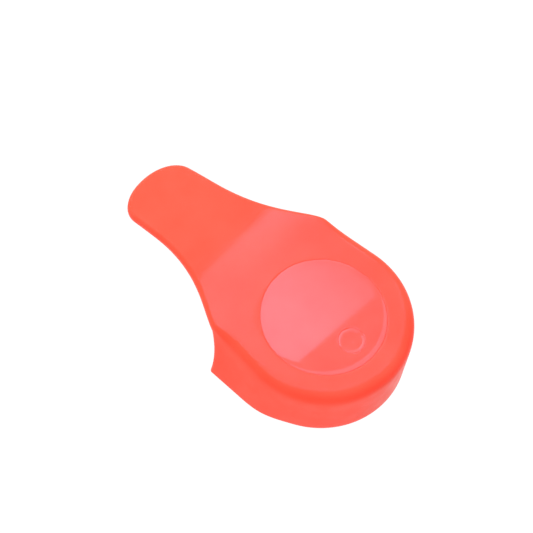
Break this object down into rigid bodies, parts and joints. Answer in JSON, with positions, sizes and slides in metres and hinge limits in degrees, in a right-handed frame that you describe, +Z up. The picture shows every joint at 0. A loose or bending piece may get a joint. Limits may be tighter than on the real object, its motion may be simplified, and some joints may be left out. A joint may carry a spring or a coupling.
{
  "type": "bluetooth tracker tag",
  "caption": "Round glossy tracker puck with a ring button, in a coral silicone sleeve whose thin tail folds under the pod; coin cell behind a twist-off door.",
  "frame": {"origin": "centre of the battery door's grip bar, on the plane that the pod rests on, on the axis of the round pod", "axes": "+Z up out of the glossy face, +Y along the tail towards its tip, +X to the right when looking from the front of the pod along the tail"},
  "size_m": [0.0404, 0.0704, 0.0146],
  "materials": {
    "silicone": "matte silicone",
    "gloss_cover": "high gloss",
    "back_plastic": "fine spark texture",
    "door_plastic": "satin",
    "dark_plastic": "satin",
    "seal_rubber": "matte",
    "board_laminate": "solder mask",
    "chip_package": "moulded epoxy",
    "ceramic": "fired ceramic",
    "led_lens": "clear",
    "steel": "bright",
    "brass": "rolled",
    "gold_plate": "plated"
  },
  "bodies": {
    "sleeve_and_puck": {"holder_shell": "silicone", "front_cover": "gloss_cover", "back_cover": "back_plastic", "cell_can": "steel", "cell_cap": "steel", "battery_carrier": "dark_plastic", "contact_negative": "gold_plate", "contact_positive": "gold_plate", "circuit_board": "board_laminate", "board_screw_rear_right": "steel", "board_screw_rear_left": "steel", "board_screw_front": "steel", "radio_chip": "chip_package", "memory_chip": "chip_package", "crystal": "steel", "chip_antenna": "ceramic", "status_led": "led_lens", "switch_body": "chip_package", "switch_plunger": "ceramic", "buzzer_plate": "brass", "buzzer_ceramic": "ceramic", "buzzer_spring_outer": "gold_plate", "buzzer_spring_centre": "gold_plate"},
    "button": {"button_cap": "gloss_cover"},
    "door_carriage": {"door_seal": "seal_rubber"},
    "door": {"battery_door": "door_plastic"},
    "tail_middle_body": {"tail_middle": "silicone"},
    "tail_tip_body": {"tail_tip": "silicone"}
  },
  "joints": [
    {"name": "button_press", "type": "slide", "parent": "sleeve_and_puck", "child": "button", "axis": [0, 0, -1], "range_m": [0, 0.00035], "stiffness_N_per_m": 1500},
    {"name": "tail_root_fold", "type": "hinge", "parent": "sleeve_and_puck", "child": "tail_middle_body", "pos_m": [0, 0.0208, 0.01239], "axis": [-1, 0, 0], "range_deg": [0, 82], "stiffness_Nm_per_rad": 0.003, "springref_deg": -3.44},
    {"name": "tail_tip_fold", "type": "hinge", "parent": "tail_middle_body", "child": "tail_tip_body", "pos_m": [0, 0.0367, 0.01032], "axis": [-1, 0, 0], "range_deg": [0, 82], "stiffness_Nm_per_rad": 0.002, "springref_deg": -3.44},
    {"name": "door_lift", "type": "slide", "parent": "sleeve_and_puck", "child": "door_carriage", "axis": [0, 0, -1], "range_m": [0, 0.0005]},
    {"name": "door_twist", "type": "hinge", "parent": "door_carriage", "child": "door", "pos_m": [0, 0, 0], "axis": [0, 0, -1], "range_deg": [0, 60]}
  ],
  "couplings": [
    {"joint": "tail_tip_fold", "follows": "tail_root_fold", "ratio": 1},
    {"joint": "door_twist", "follows": "door_lift", "rad_per_m": 2094.4}
  ]
}
